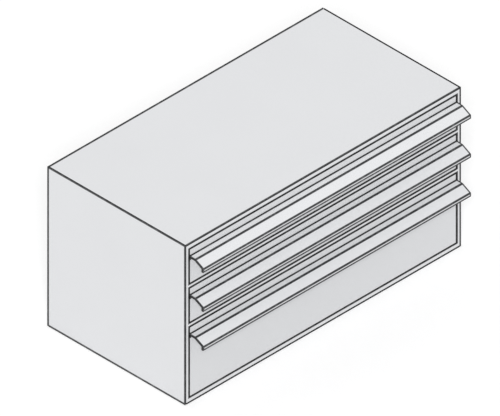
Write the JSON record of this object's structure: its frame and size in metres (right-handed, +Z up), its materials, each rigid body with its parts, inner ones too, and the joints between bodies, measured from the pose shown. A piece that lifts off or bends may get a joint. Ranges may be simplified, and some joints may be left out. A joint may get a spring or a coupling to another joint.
{
  "type": "drawer unit",
  "caption": "Low rectangular outdoor kitchen drawer unit in folded sheet metal, with two shallow drawers over a deep one, each with a full-width sloping lip handle.",
  "frame": {"origin": "centre of the case's footprint on its underside; the handles reach past the case's front", "axes": "+X along the width, to the right as seen from the front; +Z up; the drawers open along -Y"},
  "size_m": [0.9, 0.496, 0.45],
  "materials": {
    "case_paint": "fine-texture matt powder coat, pale cool grey",
    "front_paint": "fine-texture matt powder coat, light grey, half a shade darker than the case",
    "handle_paint": "fine-texture matt powder coat over extruded aluminium, pale cool grey",
    "box_steel": "brushed stainless sheet",
    "slide_steel": "bright zinc-plated rolled steel",
    "cage_steel": "thin spring-steel cage with polished balls",
    "zinc_steel": "galvanised sheet with a faint spangle",
    "stainless": "plain stainless fasteners",
    "rubber": "black rubber buffer"
  },
  "bodies": {
    "cabinet": {"top_panel": "case_paint", "bottom_panel": "case_paint", "left_side_panel": "case_paint", "right_side_panel": "case_paint", "back_panel": "case_paint", "front_frame": "case_paint", "front_left_upright": "zinc_steel", "front_right_upright": "zinc_steel", "rear_left_upright": "zinc_steel", "rear_right_upright": "zinc_steel", "back_screws": "stainless", "base_nuts": "zinc_steel", "slide_screws": "stainless", "slide_buffers": "rubber", "drawer_1_left_outer_rail": "slide_steel", "drawer_1_right_outer_rail": "slide_steel", "drawer_2_left_outer_rail": "slide_steel", "drawer_2_right_outer_rail": "slide_steel", "drawer_3_left_outer_rail": "slide_steel", "drawer_3_right_outer_rail": "slide_steel"},
    "drawer_1": {"drawer_1_front": "front_paint", "drawer_1_handle": "handle_paint", "drawer_1_tray": "box_steel", "drawer_1_box_front": "box_steel", "drawer_1_box_back": "box_steel", "drawer_1_screws": "stainless", "drawer_1_rivets": "stainless", "drawer_1_left_inner_rail": "slide_steel", "drawer_1_right_inner_rail": "slide_steel"},
    "mid_rails_1": {"drawer_1_left_mid_rail": "slide_steel", "drawer_1_right_mid_rail": "slide_steel"},
    "outer_cages_1": {"drawer_1_outer_cages": "cage_steel"},
    "inner_cages_1": {"drawer_1_inner_cages": "cage_steel"},
    "drawer_2": {"drawer_2_front": "front_paint", "drawer_2_handle": "handle_paint", "drawer_2_tray": "box_steel", "drawer_2_box_front": "box_steel", "drawer_2_box_back": "box_steel", "drawer_2_screws": "stainless", "drawer_2_rivets": "stainless", "drawer_2_left_inner_rail": "slide_steel", "drawer_2_right_inner_rail": "slide_steel"},
    "mid_rails_2": {"drawer_2_left_mid_rail": "slide_steel", "drawer_2_right_mid_rail": "slide_steel"},
    "outer_cages_2": {"drawer_2_outer_cages": "cage_steel"},
    "inner_cages_2": {"drawer_2_inner_cages": "cage_steel"},
    "drawer_3": {"drawer_3_front": "front_paint", "drawer_3_handle": "handle_paint", "drawer_3_tray": "box_steel", "drawer_3_box_front": "box_steel", "drawer_3_box_back": "box_steel", "drawer_3_screws": "stainless", "drawer_3_rivets": "stainless", "drawer_3_left_inner_rail": "slide_steel", "drawer_3_right_inner_rail": "slide_steel"},
    "mid_rails_3": {"drawer_3_left_mid_rail": "slide_steel", "drawer_3_right_mid_rail": "slide_steel"},
    "outer_cages_3": {"drawer_3_outer_cages": "cage_steel"},
    "inner_cages_3": {"drawer_3_inner_cages": "cage_steel"}
  },
  "joints": [
    {"name": "drawer_1_slide", "type": "slide", "parent": "cabinet", "child": "drawer_1", "axis": [0, -1, 0], "range_m": [0, 0.4]},
    {"name": "mid_rails_1_slide", "type": "slide", "parent": "cabinet", "child": "mid_rails_1", "axis": [0, -1, 0], "range_m": [0, 0.2]},
    {"name": "outer_cages_1_slide", "type": "slide", "parent": "cabinet", "child": "outer_cages_1", "axis": [0, -1, 0], "range_m": [0, 0.1]},
    {"name": "inner_cages_1_slide", "type": "slide", "parent": "cabinet", "child": "inner_cages_1", "axis": [0, -1, 0], "range_m": [0, 0.3]},
    {"name": "drawer_2_slide", "type": "slide", "parent": "cabinet", "child": "drawer_2", "axis": [0, -1, 0], "range_m": [0, 0.4]},
    {"name": "mid_rails_2_slide", "type": "slide", "parent": "cabinet", "child": "mid_rails_2", "axis": [0, -1, 0], "range_m": [0, 0.2]},
    {"name": "outer_cages_2_slide", "type": "slide", "parent": "cabinet", "child": "outer_cages_2", "axis": [0, -1, 0], "range_m": [0, 0.1]},
    {"name": "inner_cages_2_slide", "type": "slide", "parent": "cabinet", "child": "inner_cages_2", "axis": [0, -1, 0], "range_m": [0, 0.3]},
    {"name": "drawer_3_slide", "type": "slide", "parent": "cabinet", "child": "drawer_3", "axis": [0, -1, 0], "range_m": [0, 0.4]},
    {"name": "mid_rails_3_slide", "type": "slide", "parent": "cabinet", "child": "mid_rails_3", "axis": [0, -1, 0], "range_m": [0, 0.2]},
    {"name": "outer_cages_3_slide", "type": "slide", "parent": "cabinet", "child": "outer_cages_3", "axis": [0, -1, 0], "range_m": [0, 0.1]},
    {"name": "inner_cages_3_slide", "type": "slide", "parent": "cabinet", "child": "inner_cages_3", "axis": [0, -1, 0], "range_m": [0, 0.3]}
  ],
  "couplings": [
    {"joint": "mid_rails_1_slide", "follows": "drawer_1_slide", "ratio": 0.5},
    {"joint": "outer_cages_1_slide", "follows": "drawer_1_slide", "ratio": 0.25},
    {"joint": "inner_cages_1_slide", "follows": "drawer_1_slide", "ratio": 0.75},
    {"joint": "mid_rails_2_slide", "follows": "drawer_2_slide", "ratio": 0.5},
    {"joint": "outer_cages_2_slide", "follows": "drawer_2_slide", "ratio": 0.25},
    {"joint": "inner_cages_2_slide", "follows": "drawer_2_slide", "ratio": 0.75},
    {"joint": "mid_rails_3_slide", "follows": "drawer_3_slide", "ratio": 0.5},
    {"joint": "outer_cages_3_slide", "follows": "drawer_3_slide", "ratio": 0.25},
    {"joint": "inner_cages_3_slide", "follows": "drawer_3_slide", "ratio": 0.75}
  ]
}
